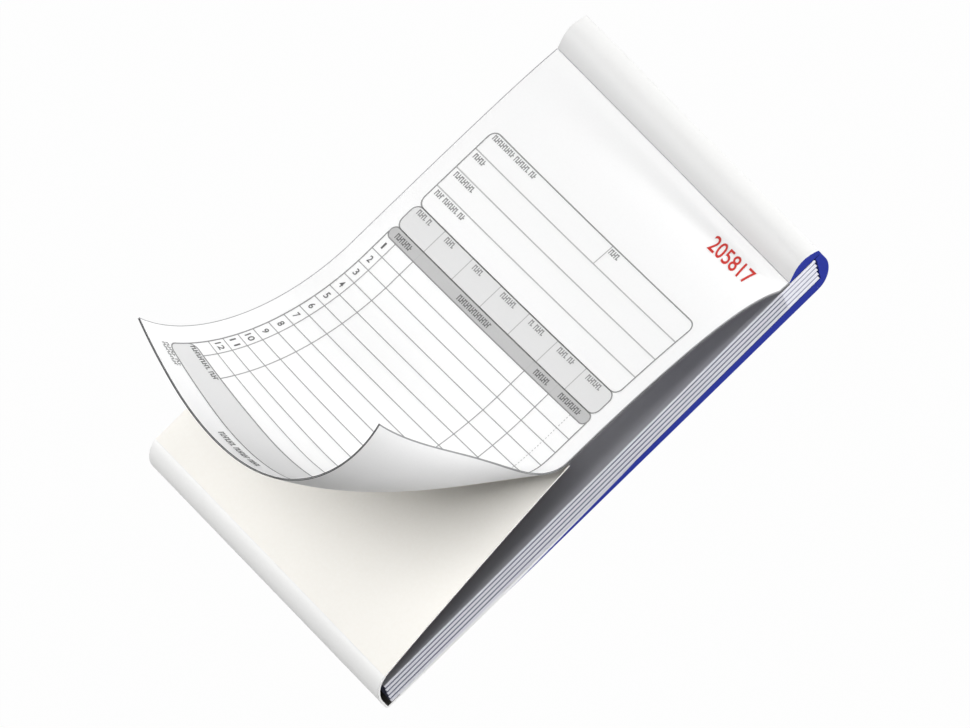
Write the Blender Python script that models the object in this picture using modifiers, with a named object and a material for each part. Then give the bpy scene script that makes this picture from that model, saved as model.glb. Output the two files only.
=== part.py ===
"""Carbonless sales book with a wrap-around cover, open at the set in use.

The block of unused sets is bound by its stubs, with two staples, under the lip of a cover board.
The cover runs under the block, rises round its foot and ends in a flap. The flap is tucked under
the set in use, which is lifted and rolled at one corner.

Metres, +Z up, +Y towards the bound end, +X towards the right-hand edge. The origin is under the
middle of the book, on the face it lies on.
"""

import math

import bmesh
import bpy
import numpy as np

# Sheets: 5 9/16 in wide, 8 7/16 in long with the bound stub.
PAGE_WIDTH = 0.1413
PAGE_LENGTH = 0.198  # tear line to foot
MARGIN = 0.004  # tear line to lip
LIP_COVER = 0.012  # stub under the lip
PLY = 0.000076
PLIES = 2

# Block of unused sets. Its bundles lie a little apart and step back towards the spine.
UNUSED_SETS = 48
BUNDLES = 5
SET_GAP = 0.000044
BUNDLE_GAP = 0.00035
FAN_STEP = 0.0005
STUB_STEP = 0.0008  # how far the stubs of a bundle end short of those above

# Cover board: stout at the spine and skived thin for the fold.
BOARD_FOLD = 0.0009
BOARD_SPINE = 0.0042
SPINE_WALL = 0.0032
SPINE_TURN = 0.0061  # how far the spine cover turns in under the block
SPINE_SIDE = 0.011  # height up to which its outside is rounded from below
SPINE_SHOULDER = 0.0008  # rounding under the lip
WRAP_LEG = 0.058  # white wrap under the foot of the block
LIP_CROWN = 0.0044
LIP_EDGE = 0.0004
LIP_ROUND = 0.86  # share of a half wave in the section of the crown
LIP_OVERHANG = 0.0035  # lip past the ends of the top stubs

# Fold and flap.
FOLD_ROOM = 0.003  # outside of the fold to the foot of the lowest set
FOLD_FOOT = 0.0014  # rounding of its lower corner
FOLD_UPRIGHT = 0.005  # height up to which it stands upright
CREASE_IN = 0.0075  # outside of the fold to the crease
CREASE_HEIGHT = 0.0160
CREASE_SLOPE = math.radians(10)
FLAP_REACH = 0.100
FLAP_RISE_RIGHT = 0.0145
FLAP_RISE_LEFT = 0.0008
FLAP_SPRING = 0.015  # run over which the flap springs off its crease
FLAP_SPRING_SHARE = 0.22  # share of its rise that this gives

# Set in use, lifted at its left and rolled at its lower right corner.
LOOSE_PLY = 0.0002  # solid thickness of a loose ply
LOOSE_GAP = 0.0003  # between the two loose plies
MARGIN_SLOPE = math.radians(6)
REST_GAP = 0.001  # set to flap
SET_SPRING = 0.015  # run over which the set climbs from its tear line
SET_SPRING_SHARE = 0.5
LIFT_LEFT = math.radians(78.3)
LIFT_RIGHT = math.radians(37.4)
ROLL_DEPTH = 0.0736  # corner to the start of the roll
ROLL_ANGLE = math.radians(47.7)
ROLL_RADIUS = 0.0358  # at the corner
ROLL_TAPER = 0.576  # growth of the radius along the roll
ROLL_TIGHTEST = 0.006

# Staples.
WIRE = 0.0006
CROWN = 0.012
STAPLE_SPACING = 0.070
STAPLE_INSET = 0.006  # from the ends of the top stubs
CLINCH = 0.004
STAPLE_BEND = 0.0009

# Clearances.
SEAT_GAP = 0.0003
TEAR_GAP = 0.0005
HINGE_ROOM = 0.0006

# Grid of a loose sheet, and points along one bend of a board.
ACROSS = 22
DOWN = 36
BEND_POINTS = 9

SET_THICKNESS = PLIES * PLY
BUNDLE_SETS = math.ceil(UNUSED_SETS / BUNDLES)
LOOSE_STEP = LOOSE_PLY + LOOSE_GAP


def set_height(index):
    """Underside of a set above the underside of the block; the count starts at 0 at the bottom."""
    extra = index // BUNDLE_SETS * (BUNDLE_GAP - SET_GAP)
    return index * (SET_THICKNESS + SET_GAP) + extra


def fan(index):
    """How far a set is stepped towards the spine."""
    return index // BUNDLE_SETS * FAN_STEP


BLOCK_HEIGHT = set_height(UNUSED_SETS - 1) + SET_THICKNESS
TOP_FAN = fan(UNUSED_SETS - 1)
STUB_HEIGHT = BLOCK_HEIGHT + SET_GAP + SET_THICKNESS
TEAR_LINE = TOP_FAN + PAGE_LENGTH
LIP_FRONT = TEAR_LINE + TEAR_GAP + MARGIN
BLOCK_LENGTH = LIP_FRONT + LIP_COVER
BOOK_LENGTH = FOLD_ROOM + BLOCK_LENGTH + SEAT_GAP + SPINE_WALL
FOLD_OUT = -BOOK_LENGTH / 2
SPINE_OUT = BOOK_LENGTH / 2
SPINE_IN = SPINE_OUT - SPINE_WALL

# The block lies on the sloping inside of the back board.
BLOCK_FOOT = FOLD_OUT + FOLD_ROOM
BLOCK_BASE = BOARD_FOLD + SEAT_GAP
BLOCK_TILT = math.asin((BOARD_SPINE - BOARD_FOLD) / BLOCK_LENGTH)


def block_to_world(along, up):
    """World y and z of a point given along and up the tilted block."""
    c = math.cos(BLOCK_TILT)
    s = math.sin(BLOCK_TILT)
    return BLOCK_FOOT + along * c - up * s, BLOCK_BASE + along * s + up * c


for old in list(bpy.data.objects):
    bpy.data.objects.remove(old, do_unlink=True)

book = bpy.data.collections.new("sales_book")
cutters = bpy.data.collections.new("cutters")
bpy.context.scene.collection.children.link(book)
bpy.context.scene.collection.children.link(cutters)
cutters.hide_render = True


def material(name, colour, roughness, metallic=0.0):
    made = bpy.data.materials.new(name)
    made.use_nodes = True
    shader = made.node_tree.nodes["Principled BSDF"]
    shader.inputs["Base Color"].default_value = (*colour, 1.0)
    shader.inputs["Roughness"].default_value = roughness
    shader.inputs["Metallic"].default_value = metallic
    return made


WHITE_PAPER = material("white_carbonless_paper", (0.90, 0.90, 0.90), 0.75)
SET_PAPER = material("stacked_paper", (0.80, 0.80, 0.86), 0.80)
WHITE_BOARD = material("white_cover_board", (0.86, 0.86, 0.84), 0.55)
BLUE_BOARD = material("blue_cover_board", (0.020, 0.032, 0.25), 0.50)
STUB_PAPER = material("glued_stub", (0.72, 0.72, 0.78), 0.80)
STEEL = material("staple_wire", (0.60, 0.60, 0.62), 0.30, 1.0)


def axis(name, y, z, parent=None):
    """An empty on a joint's line, or on the foot of the block."""
    made = bpy.data.objects.new(name, None)
    made.empty_display_size = 0.01
    made.location = (0, y, z)
    made.parent = parent
    book.objects.link(made)
    return made


def place(name, mesh, finish, parent=None, group=book):
    made = bpy.data.objects.new(name, mesh)
    made.parent = parent
    if finish is not None:
        mesh.materials.append(finish)
    group.objects.link(made)
    return made


def slab(name, length, thickness, finish, parent=None):
    """A flat sheet of the page width with its near lower edge on the origin, running along +Y."""
    shape = bmesh.new()
    bmesh.ops.create_cube(shape, size=1)
    bmesh.ops.scale(shape, verts=shape.verts, vec=(PAGE_WIDTH, length, thickness))
    bmesh.ops.translate(shape, verts=shape.verts, vec=(0, length / 2, thickness / 2))
    mesh = bpy.data.meshes.new(name)
    shape.to_mesh(mesh)
    shape.free()
    return place(name, mesh, finish, parent)


def extruded(name, outline, finish, parent=None):
    """A section given as (y, z) points, carried across the width of the page."""
    shape = bmesh.new()
    corners = [shape.verts.new((-PAGE_WIDTH / 2, y, z)) for y, z in outline]
    face = shape.faces.new(corners)
    side = bmesh.ops.extrude_face_region(shape, geom=[face])["geom"]
    moved = [part for part in side if isinstance(part, bmesh.types.BMVert)]
    bmesh.ops.translate(shape, verts=moved, vec=(PAGE_WIDTH, 0, 0))
    bmesh.ops.recalc_face_normals(shape, faces=shape.faces)
    mesh = bpy.data.meshes.new(name)
    shape.to_mesh(mesh)
    shape.free()
    return place(name, mesh, finish, parent)


def bend(start, leave, arrive, end):
    """Points of a cubic curve between two ends, with the handle of each."""
    t = np.linspace(0, 1, BEND_POINTS)[:, None]
    ends = (1 - t) ** 3 * np.array(start) + t**3 * np.array(end)
    return ends + 3 * t * (1 - t) * ((1 - t) * np.array(leave) + t * np.array(arrive))


def strip(path, thickness):
    """Outline of a board of even thickness whose outer face follows a path, on the path's right."""
    path = np.asarray(path)
    run = np.gradient(path, axis=0)
    run /= np.linalg.norm(run, axis=1)[:, None]
    inner = path + thickness * np.stack([run[:, 1], -run[:, 0]], axis=1)
    return np.concatenate([path, inner[::-1]])


def skin(name, points, thickness, finish, parent):
    """A thin sheet: a grid laid on the points, which are relative to the parent, and thickened."""
    rows, columns = points.shape[:2]
    shape = bmesh.new()
    bmesh.ops.create_grid(shape, x_segments=columns - 1, y_segments=rows - 1, size=1)
    mesh = bpy.data.meshes.new(name)
    shape.to_mesh(mesh)
    shape.free()
    mesh.vertices.foreach_set("co", points.reshape(-1))
    mesh.update()
    made = place(name, mesh, finish, parent)
    thicken = made.modifiers.new("thickness", "SOLIDIFY")
    thicken.thickness = thickness
    thicken.offset = 0
    return made


def settled(span, start_share, start_length):
    """Rise, as a share, along a sheet that leaves steeply and comes to level at its span, with the
    length that a rise of one loses: half the integral of the slope squared."""
    at = np.linspace(0, span, 240)
    quick = 1 - np.exp(-at / start_length)
    share = start_share * quick / quick[-1] + (1 - start_share) * (1 - (1 - at / span) ** 2)
    slope = np.gradient(share, at)
    lost = np.concatenate([[0], np.cumsum(slope[1:] ** 2 + slope[:-1] ** 2)]) / 4 * at[1]
    return at, share, lost


# Back board: flat underneath, sloping inside, from the wrap's leg to the spine cover.
board_start = FOLD_OUT + WRAP_LEG + SEAT_GAP
board_end = SPINE_IN - SPINE_TURN
slope = math.tan(BLOCK_TILT)
back_outline = [
    (board_start, 0),
    (board_end, 0),
    (board_end, BOARD_FOLD + (board_end - BLOCK_FOOT) * slope),
    (board_start, BOARD_FOLD + (board_start - BLOCK_FOOT) * slope),
]
extruded("back_board", back_outline, BLUE_BOARD)

# Spine cover: a rounded C from the end of the back board up to the lip, filled to the stepped stubs.
lip_under = block_to_world(BLOCK_LENGTH, STUB_HEIGHT + SEAT_GAP)[1]
turn_end = board_end + SEAT_GAP
spine_foot = BOARD_FOLD + (turn_end - BLOCK_FOOT) * slope
spine_top = lip_under - SEAT_GAP
outside = np.concatenate(
    [
        bend(
            (turn_end, 0),
            ((turn_end + SPINE_OUT) / 2, 0),
            (SPINE_OUT, SPINE_SIDE / 2),
            (SPINE_OUT, SPINE_SIDE),
        ),
        bend(
            (SPINE_OUT, SPINE_SIDE),
            (SPINE_OUT, (SPINE_SIDE + spine_top) / 2),
            (SPINE_OUT, spine_top - SPINE_SHOULDER / 3),
            (SPINE_OUT - SPINE_SHOULDER, spine_top),
        )[1:],
    ]
)
stub_room = BLOCK_LENGTH + SEAT_GAP
low_stub = block_to_world(stub_room - (BUNDLES - 1) * STUB_STEP, 0)
inside = [
    (SPINE_IN, spine_top),
    block_to_world(stub_room, set_height((BUNDLES - 1) * BUNDLE_SETS)),
    low_stub,
    (low_stub[0], spine_foot),
    (turn_end, spine_foot),
]
extruded("spine_cover", np.concatenate([outside, inside]), BLUE_BOARD)

# Fold wall: the white wrap, from under the foot of the block up to the crease of the flap.
crease_y = FOLD_OUT + CREASE_IN
crease_run = np.array([math.cos(CREASE_SLOPE), math.sin(CREASE_SLOPE)])
wall_end = np.array([crease_y, CREASE_HEIGHT]) - crease_run * SEAT_GAP / 2
wall_path = np.concatenate(
    [
        [(FOLD_OUT + WRAP_LEG, 0)],
        bend(
            (FOLD_OUT + FOLD_FOOT, 0),
            (FOLD_OUT + FOLD_FOOT / 3, 0),
            (FOLD_OUT, FOLD_FOOT / 3),
            (FOLD_OUT, FOLD_FOOT),
        ),
        bend(
            (FOLD_OUT, FOLD_UPRIGHT),
            (FOLD_OUT, (FOLD_UPRIGHT + CREASE_HEIGHT) / 2),
            wall_end - crease_run * CREASE_IN / 2,
            wall_end,
        ),
    ]
)
extruded("fold_wall", strip(wall_path, BOARD_FOLD), WHITE_BOARD)

# Unused sets, each of two plies, stacked in bundles.
block = axis("block_foot", BLOCK_FOOT, BLOCK_BASE)
block.rotation_euler.x = BLOCK_TILT
for index in range(UNUSED_SETS):
    one_set = slab(f"set_{index + 1:02d}", PAGE_LENGTH, SET_THICKNESS, SET_PAPER, block)
    one_set.location = (0, fan(index), set_height(index))

# Bound stubs: glued edge to edge, stepped with the bundles, the stub of the set in use on top.
front = []
back = []
for bundle in range(BUNDLES):
    first = bundle * BUNDLE_SETS
    after = min(first + BUNDLE_SETS, UNUSED_SETS)
    low = set_height(first)
    high = BLOCK_HEIGHT if after == UNUSED_SETS else set_height(after)
    stub_front = PAGE_LENGTH + TEAR_GAP + fan(first)
    stub_back = BLOCK_LENGTH - (BUNDLES - 1 - bundle) * STUB_STEP
    front += [(stub_front, low), (stub_front, high)]
    back += [(stub_back, low), (stub_back, high)]
back[-1] = (BLOCK_LENGTH, STUB_HEIGHT)
step_up = [(LIP_FRONT, BLOCK_HEIGHT), (LIP_FRONT, STUB_HEIGHT)]
stubs = extruded("bound_stubs", front + step_up + back[::-1], STUB_PAPER, block)

# Staples: crown let in flush on top of the stubs, points bent in underneath.
HOLE = WIRE / 2 + SEAT_GAP
staple_y = BLOCK_LENGTH - STAPLE_INSET
crown_height = STUB_HEIGHT - HOLE
clinch_height = HOLE
quarter = np.linspace(0, math.pi / 2, 5)
for side, name in ((-1, "staple_left"), (1, "staple_right")):
    middle = side * STAPLE_SPACING / 2
    reach = CROWN / 2
    bend_top = np.stack(
        [
            reach - STAPLE_BEND * (1 - np.cos(quarter)),
            crown_height - STAPLE_BEND * (1 - np.sin(quarter)),
        ],
        axis=1,
    )
    bend_foot = np.stack(
        [
            reach - STAPLE_BEND * (1 - np.sin(quarter)),
            clinch_height + STAPLE_BEND * (1 - np.cos(quarter)),
        ],
        axis=1,
    )
    half = np.concatenate([[(reach - CLINCH, clinch_height)], bend_foot, bend_top])
    wire = np.concatenate([half, half[::-1] * (-1, 1)])
    path = bpy.data.curves.new(name, "CURVE")
    path.dimensions = "3D"
    path.bevel_depth = WIRE / 2
    path.bevel_resolution = 1
    path.use_fill_caps = True
    spline = path.splines.new("POLY")
    spline.points.add(len(wire) - 1)
    for point, (x, z) in zip(spline.points, wire):
        point.co = (middle + x, staple_y, z, 1)
    place(name, path, STEEL, block)

    for leg in (-reach, reach):
        shape = bmesh.new()
        bmesh.ops.create_cone(
            shape, cap_ends=True, segments=8, radius1=HOLE, radius2=HOLE, depth=3 * STUB_HEIGHT
        )
        mesh = bpy.data.meshes.new("leg_hole")
        shape.to_mesh(mesh)
        shape.free()
        hole = place(f"leg_hole_{name}_{'a' if leg < 0 else 'b'}", mesh, None, block, cutters)
        hole.location = (middle + leg, staple_y, 0)
    for level, label in ((STUB_HEIGHT, "crown"), (0, "clinch")):
        shape = bmesh.new()
        bmesh.ops.create_cube(shape, size=1)
        groove_size = (CROWN + 2 * HOLE, 2 * HOLE, 4 * HOLE)
        bmesh.ops.scale(shape, verts=shape.verts, vec=groove_size)
        mesh = bpy.data.meshes.new("groove")
        shape.to_mesh(mesh)
        shape.free()
        groove = place(f"{label}_groove_{name}", mesh, None, block, cutters)
        groove.location = (middle, staple_y, level)
for cutter in cutters.objects:
    cutter.display_type = "WIRE"
    cutter.hide_render = True
    cut = stubs.modifiers.new(cutter.name, "BOOLEAN")
    cut.operation = "DIFFERENCE"
    cut.solver = "EXACT"
    cut.object = cutter

# Lip: a strip of cover board with a crowned top, over the stubs and the staples.
lip_run = np.linspace(0, 1, 2 * BEND_POINTS)
lip_length = LIP_COVER + LIP_OVERHANG
lip_bottom = STUB_HEIGHT + SEAT_GAP
lip_top = np.stack(
    [
        LIP_FRONT + lip_run * lip_length,
        lip_bottom + LIP_EDGE + (LIP_CROWN - LIP_EDGE) * np.sin(LIP_ROUND * math.pi * lip_run),
    ],
    axis=1,
)
lip_base = [(LIP_FRONT + lip_length, lip_bottom), (LIP_FRONT, lip_bottom)]
extruded("top_lip", np.concatenate([lip_top, lip_base]), WHITE_BOARD, block)

# Flap: turns on the crease, springs up at its right side and stays low at its left.
crease = axis("flap_crease", crease_y, CREASE_HEIGHT)
flap_at, flap_share, flap_lost = settled(FLAP_REACH, FLAP_SPRING_SHARE, FLAP_SPRING)


def flap_rise(x):
    return FLAP_RISE_LEFT + (FLAP_RISE_RIGHT - FLAP_RISE_LEFT) * (x / PAGE_WIDTH + 0.5)


flap_x, flap_run = np.meshgrid(
    np.linspace(-PAGE_WIDTH / 2, PAGE_WIDTH / 2, 9), np.linspace(0, FLAP_REACH, 25)
)
flap_points = np.stack(
    [
        flap_x,
        flap_run - np.interp(flap_run, flap_at, flap_lost) * flap_rise(flap_x) ** 2 + SEAT_GAP / 2,
        np.interp(flap_run, flap_at, flap_share) * flap_rise(flap_x) - BOARD_FOLD / 2,
    ],
    axis=-1,
)
skin("flap", flap_points, BOARD_FOLD, WHITE_BOARD, crease)

# Margins of the set in use: the lip holds them, and the sheets tear off them.
lip_front_y, block_top = block_to_world(LIP_FRONT, BLOCK_HEIGHT)
margin_y = lip_front_y - HINGE_ROOM
margin_z = block_top + SEAT_GAP + LOOSE_PLY + LOOSE_GAP / 2
margin_length = MARGIN - HINGE_ROOM
lip_hinge = axis("lip_hinge", margin_y, margin_z)
lip_hinge.rotation_euler.x = -MARGIN_SLOPE
for name, low in (
    ("margin_original", LOOSE_GAP / 2),
    ("margin_duplicate", -LOOSE_GAP / 2 - LOOSE_PLY),
):
    one_margin = slab(name, margin_length, LOOSE_PLY, WHITE_PAPER, lip_hinge)
    one_margin.location = (0, -margin_length, low)

# Sheets of the set in use, hinged on the tear line.
tear_along = margin_length + TEAR_GAP / 2
tear_y = margin_y - tear_along * math.cos(MARGIN_SLOPE)
tear_z = margin_z + tear_along * math.sin(MARGIN_SLOPE)
tear_hinge = axis("tear_line", -tear_along, 0, lip_hinge)
tear_hinge.rotation_euler.x = MARGIN_SLOPE

crest = tear_y - (crease_y + FLAP_REACH)
set_above_flap = CREASE_HEIGHT + REST_GAP + LOOSE_STEP + LOOSE_PLY / 2 - tear_z
sheet_at, sheet_share, sheet_lost = settled(crest, SET_SPRING_SHARE, SET_SPRING)


def sheet(x, down):
    """The upper ply, as points relative to the tear line.

    The lower right corner is first rolled, in the plane of the sheet, on a cone that leaves the sheet
    along a slanting line: a point a distance d past that line goes to r sin(d/r) past it and to
    r (1 - cos(d/r)) above it. The sheet then climbs from the tear line to the edge of the flap, higher
    at the right, and past the flap it bends up in an arc that turns further at the left.
    """
    across, along = math.cos(ROLL_ANGLE), math.sin(ROLL_ANGLE)
    from_side = x - PAGE_WIDTH / 2
    from_foot = down - PAGE_LENGTH
    past = np.maximum(from_side * across + from_foot * along + ROLL_DEPTH, 0)
    cone = ROLL_RADIUS + ROLL_TAPER * (from_foot * across - from_side * along)
    radius = (cone + np.sqrt(cone**2 + 4 * ROLL_TIGHTEST**2)) / 2
    drawn_in = past - radius * np.sin(past / radius)
    above = radius * (1 - np.cos(past / radius))
    x = x - drawn_in * across
    down = down - drawn_in * along

    share = x / PAGE_WIDTH + 0.5
    rise = set_above_flap + flap_rise(x)
    climb = np.minimum(down, crest)
    y = np.interp(climb, sheet_at, sheet_lost) * rise**2 - climb
    z = np.interp(climb, sheet_at, sheet_share) * rise

    turn = LIFT_LEFT + (LIFT_RIGHT - LIFT_LEFT) * share
    arc = (PAGE_LENGTH - crest) / turn
    lifted = np.maximum(down - crest, 0) / arc
    y += (above - arc) * np.sin(lifted)
    z += arc * (1 - np.cos(lifted)) + above * np.cos(lifted)
    return np.stack([x, y - TEAR_GAP / 2, z + LOOSE_STEP / 2], axis=-1)


grid_x, grid_down = np.meshgrid(
    np.linspace(-PAGE_WIDTH / 2, PAGE_WIDTH / 2, ACROSS + 1),
    np.linspace(PAGE_LENGTH, 0, DOWN + 1),
)
original = sheet(grid_x, grid_down)
rightward = np.gradient(original, axis=1)
upward = np.gradient(original, axis=0)
normal = np.cross(rightward, upward)
normal /= np.linalg.norm(normal, axis=-1)[..., None]
skin("original_sheet", original, LOOSE_PLY, WHITE_PAPER, tear_hinge)
skin("duplicate_sheet", original - LOOSE_STEP * normal, LOOSE_PLY, WHITE_PAPER, tear_hinge)
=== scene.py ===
"""Carbonless sales book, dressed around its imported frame.

The cover and the bound block come first, then the flap, the set in use and its printed form, and last
the floor, the light and the camera. Metres, +Z up, +Y towards the bound end, +X towards the right-hand
edge of the forms.
"""

import math

import bmesh
import bpy
import numpy as np
from mathutils import Matrix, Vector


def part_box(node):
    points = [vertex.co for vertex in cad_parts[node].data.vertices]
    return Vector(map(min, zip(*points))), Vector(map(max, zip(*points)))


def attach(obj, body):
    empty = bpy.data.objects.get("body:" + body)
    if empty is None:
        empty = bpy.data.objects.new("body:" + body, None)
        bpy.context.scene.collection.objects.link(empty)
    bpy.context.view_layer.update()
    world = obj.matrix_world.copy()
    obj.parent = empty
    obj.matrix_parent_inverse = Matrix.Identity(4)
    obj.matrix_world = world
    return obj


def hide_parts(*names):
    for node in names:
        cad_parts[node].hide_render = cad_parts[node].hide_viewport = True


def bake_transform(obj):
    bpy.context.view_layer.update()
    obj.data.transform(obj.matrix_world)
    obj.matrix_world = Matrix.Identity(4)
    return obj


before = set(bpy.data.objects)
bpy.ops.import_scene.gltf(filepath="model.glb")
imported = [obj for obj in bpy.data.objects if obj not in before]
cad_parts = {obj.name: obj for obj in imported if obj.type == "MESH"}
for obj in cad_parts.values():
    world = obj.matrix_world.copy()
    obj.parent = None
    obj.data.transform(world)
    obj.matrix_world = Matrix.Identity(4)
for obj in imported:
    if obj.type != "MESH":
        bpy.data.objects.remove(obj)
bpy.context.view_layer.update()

# Back board: a stout cover board under the block, thick at the spine and skived thin towards the fold.
# Pressboard dyed blue all through and cut with the block, so its cut ends are blue and slightly fibrous.
BLUE = "#1C30A0"
BLUE_DEEP = "#12207C"
FIBRE_MM = 0.7  # length of a pressboard fibre; drawn about twice as coarse as real, so that it shows
FIBRE_LIE = (1, 1, 2.5)  # pressed flat, so finer through the board than along it
PRESSED_BLUE = {
    "dark": BLUE_DEEP,
    "light": BLUE,
    "size_mm": FIBRE_MM,
    "bump": 0.00003,
    "stretch": FIBRE_LIE,
}
LINING = "#F8F8FA"
LINING_SHADE = "#EFEFF3"
SCARF_SLOPE = 0.043  # rise of the lining's edge along the board
SCARF_SOFT = 0.0001


def linear(code):
    """Linear colour of an sRGB hex value: ((c + 0.055) / 1.055) ** 2.4, or c / 12.92 near black."""
    c = np.array([int(code[i : i + 2], 16) for i in (1, 3, 5)]) / 255
    c = np.where(c > 0.04045, ((c + 0.055) / 1.055) ** 2.4, c / 12.92)
    return (*c.tolist(), 1.0)


def add(tree, kind, sockets=None, **settings):
    """Adds a node. Settings are its properties; sockets maps an input to a value or to an output."""
    made = tree.nodes.new(kind)
    for name, value in settings.items():
        setattr(made, name, value)
    for socket, value in (sockets or {}).items():
        if isinstance(value, bpy.types.NodeSocket):
            tree.links.new(value, made.inputs[socket])
        else:
            made.inputs[socket].default_value = value
    return made


def finish(name, roughness, ior=1.5):
    """A material with its node tree and its Principled shader."""
    made = bpy.data.materials.new(name)
    made.use_nodes = True
    shader = made.node_tree.nodes["Principled BSDF"]
    shader.inputs["Roughness"].default_value = roughness
    shader.inputs["IOR"].default_value = ior
    return made, made.node_tree, shader


def mottle(tree, shader, dark, light, size_mm, bump, stretch=(1, 1, 1)):
    """Colour that drifts between two shades in specks of a real size, with the same specks as bump."""
    where = add(tree, "ShaderNodeTexCoord").outputs["Object"]
    turned = add(tree, "ShaderNodeMapping", {"Vector": where, "Scale": stretch}).outputs["Vector"]
    specks = add(
        tree,
        "ShaderNodeTexNoise",
        {"Vector": turned, "Scale": 1000 / size_mm, "Detail": 4.0, "Roughness": 0.6},
    ).outputs["Fac"]
    shade = add(
        tree,
        "ShaderNodeMix",
        {"Factor": specks, "A": linear(dark), "B": linear(light)},
        data_type="RGBA",
    ).outputs["Result"]
    tree.links.new(shade, shader.inputs["Base Color"])
    relief = add(
        tree, "ShaderNodeBump", {"Height": specks, "Strength": 1.0, "Distance": bump}
    ).outputs["Normal"]
    tree.links.new(relief, shader.inputs["Normal"])


def dress(piece, *finishes):
    """Gives a piece these materials in place of those that it has."""
    piece.data.materials.clear()
    for one in finishes:
        piece.data.materials.append(one)


def tinted(tree, shader, share, colour):
    """Lays a colour over the base colour that the shader has, by a share that a socket gives."""
    below = shader.inputs["Base Color"].links[0].from_socket
    laid = add(
        tree,
        "ShaderNodeMix",
        {"Factor": share, "A": below, "B": linear(colour)},
        data_type="RGBA",
    ).outputs["Result"]
    tree.links.new(laid, shader.inputs["Base Color"])


def within(tree, distance, half_width, soft):
    """A share that is one up to a half width and fades to none over a soft edge."""
    limits = {"From Min": half_width, "From Max": half_width + soft, "To Min": 1.0, "To Max": 0.0}
    return add(tree, "ShaderNodeMapRange", {"Value": distance, **limits}).outputs["Result"]


def measured(tree, start, direction):
    """How far a point of the piece lies from a start, along a direction: their dot product."""
    where = add(tree, "ShaderNodeTexCoord").outputs["Object"]
    away = add(
        tree, "ShaderNodeVectorMath", {0: where, 1: start}, operation="SUBTRACT"
    ).outputs["Vector"]
    return add(
        tree, "ShaderNodeVectorMath", {0: away, 1: direction}, operation="DOT_PRODUCT"
    ).outputs["Value"]


# Pressed fibre with a dull calendered face: a low IOR, because the open fibre takes most of the gloss.
# Under the block a white lining is scarfed on to the blue, so its cut edge thins out towards the fold.
pressboard, tree, shader = finish("blue_pressboard", roughness=0.6, ior=1.33)
mottle(tree, shader, **PRESSED_BLUE)
scarfed_board, tree, shader = finish("scarfed_pressboard", roughness=0.6, ior=1.33)
mottle(tree, shader, **PRESSED_BLUE)
board_low, board_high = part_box("back_board")
below_scarf = measured(tree, (0, board_low.y, 0), (0, SCARF_SLOPE, -1))
tinted(tree, shader, within(tree, below_scarf, 0.0, SCARF_SOFT), LINING)
dress(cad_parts["back_board"], scarfed_board)

# Spine cover: the same blue board, turned in under the block and carried round its bound end in a
# rounded C up to the lip. Rolled to shape and glued to the stepped ends of the stubs.
PAGE_HALF = 0.1413 / 2
SPINE_WALL = 0.0032
SPINE_SIDE = 0.0110  # height up to which the outside is rounded from below
SPINE_SHOULDER = 0.0008  # rounding under the lip
SPINE_FILL = ((0.10814, 0.0131), (0.10507, 0.004455))  # inside face, against the stepped stubs
BUTT = 0.00002  # between two pieces that meet edge to edge
CURVE_POINTS = 33
EDGE_ROUND = 0.00012
SMOOTH_TO = math.radians(35)  # a sharper edge stays crisp
ROUND_FROM = math.radians(50)  # a cut edge this sharp is rounded


def bend(start, leave, arrive, end):
    """Points of a cubic Bezier curve: the ends weigh (1-t)^3 and t^3, the handles 3t(1-t) in all."""
    t = np.linspace(0, 1, CURVE_POINTS)[:, None]
    ends = (1 - t) ** 3 * np.array(start) + t**3 * np.array(end)
    return ends + 3 * t * (1 - t) * ((1 - t) * np.array(leave) + t * np.array(arrive))


def new_piece(name, points, faces, *finishes):
    """A mesh object at the origin, smooth except at its sharp edges."""
    mesh = bpy.data.meshes.new(name)
    mesh.from_pydata(points.reshape(-1, 3), [], faces)
    mesh.shade_smooth()
    mesh.set_sharp_from_angle(angle=SMOOTH_TO)
    piece = bpy.data.objects.new(name, mesh)
    bpy.context.scene.collection.objects.link(piece)
    dress(piece, *finishes)
    return piece


def carried(name, outline, *finishes, second=slice(0), ends=0):
    """A closed (y, z) outline carried straight across the page: side squares between its two copies,
    and each copy closed as one cap. The sides that second names take the second finish."""
    outline = np.asarray(outline)
    count = len(outline)
    side_finish = np.zeros(count, np.int32)
    side_finish[second] = 1
    y, z = outline.T
    if np.sum(y * np.roll(z, -1) - np.roll(y, -1) * z) < 0:
        outline = outline[::-1]
        side_finish = np.roll(side_finish[::-1], -1)
    copies = [np.column_stack([np.full(count, x), outline]) for x in (-PAGE_HALF, PAGE_HALF)]
    left = np.arange(count)
    after = np.roll(left, -1)
    around = np.stack([left, left + count, after + count, after], axis=1)[:, ::-1]
    faces = around.tolist() + [left[::-1].tolist(), (left + count).tolist()]
    piece = new_piece(name, np.concatenate(copies), faces, *finishes)
    face_finish = np.concatenate([side_finish, np.full(2, ends, np.int32)])
    piece.data.polygons.foreach_set("material_index", face_finish)
    rounded = piece.modifiers.new("cut_edges", "BEVEL")
    rounded.width = EDGE_ROUND
    rounded.segments = 2
    rounded.limit_method = "ANGLE"
    rounded.angle_limit = ROUND_FROM
    return piece


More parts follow.
